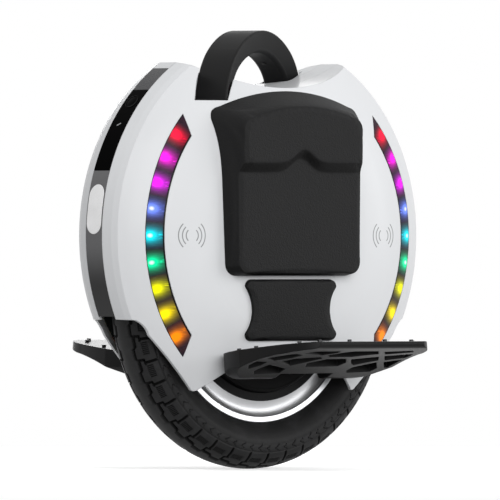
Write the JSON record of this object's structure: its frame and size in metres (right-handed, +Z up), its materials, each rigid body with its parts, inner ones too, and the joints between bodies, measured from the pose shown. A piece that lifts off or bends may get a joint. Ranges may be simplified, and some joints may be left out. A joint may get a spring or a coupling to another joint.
{
  "type": "electric unicycle",
  "caption": "Electric unicycle: a motor wheel inside a domed split shell with padded sides, curved light windows, pull-up handle and fold-up foot pedals.",
  "frame": {"origin": "on the floor under the wheel's centre", "axes": "+Z up, +X along the axle to the rider's left, -Y forward to the headlight"},
  "size_m": [0.4056, 0.4369, 0.4722],
  "materials": {
    "tyre": "matt road tyre",
    "tube": "butyl",
    "rim_metal": "polished",
    "steel": "machined",
    "magnet": "plated",
    "copper": "enamelled wire",
    "cover_black": "black coated",
    "shell": "pearl white, satin gloss",
    "lens": "smoked",
    "board": "black board with lamps",
    "window": "black gloss",
    "trim": "dark grey, satin",
    "inlay": "white",
    "pad": "fine grain over foam",
    "grip": "soft touch",
    "rod": "anodised",
    "pedal": "dark grey powder coat",
    "hanger": "black coated",
    "button": "moulded",
    "rubber": "moulded",
    "liner": "light grey moulded",
    "pack": "heat-shrunk cells",
    "circuit": "green board"
  },
  "bodies": {
    "frame": {"axle": "steel", "axle_nuts": "steel", "battery_left": "pack", "battery_right": "pack", "bearings": "steel", "button_bezel": "rim_metal", "charge_socket": "button", "control_board": "circuit", "front_cap": "trim", "front_strip": "trim", "handle_guides": "rod", "hanger_left": "hanger", "hanger_right": "hanger", "headlight_cup": "rim_metal", "headlight_window": "window", "heat_sink": "rod", "lamp_board_front_left": "board", "lamp_board_front_right": "board", "lamp_board_rear_left": "board", "lamp_board_rear_right": "board", "light_lens_front_left": "lens", "light_lens_front_right": "lens", "light_lens_rear_left": "lens", "light_lens_rear_right": "lens", "lower_pad_left": "pad", "lower_pad_right": "pad", "oval_inlay": "inlay", "pedal_pin_left": "steel", "pedal_pin_right": "steel", "rear_cap": "trim", "rear_strip": "trim", "shell_left": "shell", "shell_right": "shell", "speakers": "board", "stator_coils": "copper", "stator_core": "steel", "tail_light_board": "board", "tail_light_window": "window", "top_spine": "shell", "upper_pad_left": "pad", "upper_pad_right": "pad", "wheel_arch_liner": "liner"},
    "wheel": {"tyre": "tyre", "inner_tube": "tube", "rim": "rim_metal", "rotor_ring": "steel", "magnets": "magnet", "motor_cover_left": "cover_black", "motor_cover_right": "cover_black", "valve_stem": "rod"},
    "pedal_left_body": {"pedal_left": "pedal", "pedal_studs_left": "steel"},
    "pedal_right_body": {"pedal_right": "pedal", "pedal_studs_right": "steel"},
    "handle_body": {"handle": "grip", "handle_rods": "rod"},
    "lift_button_body": {"lift_button": "button"},
    "power_button_body": {"power_button": "button"},
    "charge_flap_body": {"charge_flap": "rubber"}
  },
  "joints": [
    {"name": "wheel_spin", "type": "hinge", "parent": "frame", "child": "wheel", "pos_m": [0, 0, 0.183], "axis": [1, 0, 0], "continuous": true},
    {"name": "pedal_left_fold", "type": "hinge", "parent": "frame", "child": "pedal_left_body", "pos_m": [0.082, 0, 0.112], "axis": [0, -1, 0], "range_deg": [0, 72]},
    {"name": "pedal_right_fold", "type": "hinge", "parent": "frame", "child": "pedal_right_body", "pos_m": [-0.082, 0, 0.112], "axis": [0, 1, 0], "range_deg": [0, 72]},
    {"name": "handle_lift", "type": "slide", "parent": "frame", "child": "handle_body", "axis": [0, 0, 1], "range_m": [0, 0.21]},
    {"name": "lift_button_press", "type": "slide", "parent": "handle_body", "child": "lift_button_body", "axis": [-0.1958, 0.4199, 0.8862], "range_m": [0, 0.0012], "stiffness_N_per_m": 400},
    {"name": "power_button_press", "type": "slide", "parent": "frame", "child": "power_button_body", "axis": [0, -0.2353, -0.9719], "range_m": [0, 0.0012], "stiffness_N_per_m": 400},
    {"name": "charge_flap_open", "type": "hinge", "parent": "frame", "child": "charge_flap_body", "pos_m": [0, 0.2182, 0.2409], "axis": [-1, 0, 0], "range_deg": [0, 110]}
  ]
}
